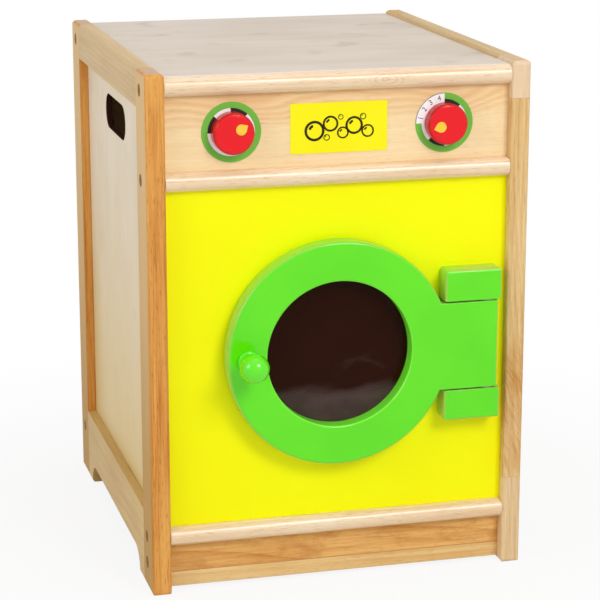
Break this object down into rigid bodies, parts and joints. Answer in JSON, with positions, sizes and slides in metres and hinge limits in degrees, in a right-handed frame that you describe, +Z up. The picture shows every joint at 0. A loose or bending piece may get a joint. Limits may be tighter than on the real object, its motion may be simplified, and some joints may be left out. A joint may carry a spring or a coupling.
{
  "type": "toy washing machine",
  "caption": "Wooden toy washing machine: open-frame cabinet with hand slots, a round hinged door with a smoked window, and turning dials on a control panel.",
  "frame": {"origin": "on the floor, under the middle of the overall box, which runs from the tip of the door knob to the back of the cabinet", "axes": "+Z up, the front faces -Y, +X to the right as seen from the front"},
  "size_m": [0.36, 0.45, 0.488],
  "materials": {
    "stile_wood": "satin clear lacquer on rubberwood",
    "rail_wood": "satin clear lacquer on rubberwood",
    "plywood": "satin clear lacquer on pale plywood",
    "dowel_wood": "plain beech",
    "plug_wood": "satin, end grain",
    "steel": "zinc plated",
    "nosing_wood": "satin clear lacquer on pine",
    "kick_wood": "satin clear lacquer on rubberwood",
    "control_wood": "satin clear lacquer on pine",
    "yellow_paint": "semi-gloss yellow paint on board",
    "yellow_label": "printed film",
    "dial_print": "printed film",
    "green_paint": "semi-gloss green paint on wood",
    "red_paint": "gloss red paint on wood",
    "pointer_yellow": "printed film",
    "smoked_acrylic": "smoked brown, clear gloss",
    "white_nylon": "moulded",
    "magnet": "sintered, plated"
  },
  "bodies": {
    "cabinet": {"front_stile_left": "stile_wood", "front_stile_right": "stile_wood", "back_stile_left": "stile_wood", "back_stile_right": "stile_wood", "top_rail_left": "rail_wood", "top_rail_right": "rail_wood", "bottom_rail_left": "rail_wood", "bottom_rail_right": "rail_wood", "side_panel_left": "plywood", "side_panel_right": "plywood", "frame_dowels_left": "dowel_wood", "frame_dowels_right": "dowel_wood", "frame_screws_left": "steel", "frame_screws_right": "steel", "screw_plugs_left": "plug_wood", "screw_plugs_right": "plug_wood", "top_board": "plywood", "floor_board": "plywood", "back_panel": "plywood", "back_screws": "steel", "top_cleat_left": "rail_wood", "top_cleat_right": "rail_wood", "floor_cleat_left": "rail_wood", "floor_cleat_right": "rail_wood", "top_nosing": "nosing_wood", "middle_nosing": "nosing_wood", "bottom_nosing": "nosing_wood", "kick_board": "kick_wood", "back_top_rail": "rail_wood", "back_bottom_rail": "rail_wood", "control_panel": "control_wood", "front_panel": "yellow_paint", "control_label": "yellow_label", "dial_disc_left": "dial_print", "dial_disc_right": "dial_print", "hinge_block_upper": "green_paint", "hinge_block_lower": "green_paint", "hinge_pins": "steel", "hinge_washers": "white_nylon", "hinge_screws": "steel", "door_magnet": "magnet"},
    "door": {"door_ring": "green_paint", "door_window": "smoked_acrylic", "window_retainer": "green_paint", "retainer_screws": "steel", "door_knob": "green_paint", "door_knob_screw": "steel", "strike_plate": "steel"},
    "dial_left": {"dial_knob_left": "red_paint", "dial_pointer_left": "pointer_yellow", "dial_spindle_left": "dowel_wood", "dial_washer_left": "steel", "dial_screw_left": "steel"},
    "dial_right": {"dial_knob_right": "red_paint", "dial_pointer_right": "pointer_yellow", "dial_spindle_right": "dowel_wood", "dial_washer_right": "steel", "dial_screw_right": "steel"}
  },
  "joints": [
    {"name": "door_hinge", "type": "hinge", "parent": "cabinet", "child": "door", "pos_m": [0.141, -0.17625, 0.224], "axis": [0, 0, 1], "range_deg": [0, 105]},
    {"name": "dial_left_turn", "type": "hinge", "parent": "cabinet", "child": "dial_left", "pos_m": [-0.1, -0.17525, 0.432], "axis": [0, 1, 0], "continuous": true},
    {"name": "dial_right_turn", "type": "hinge", "parent": "cabinet", "child": "dial_right", "pos_m": [0.1, -0.17525, 0.432], "axis": [0, 1, 0], "continuous": true}
  ]
}
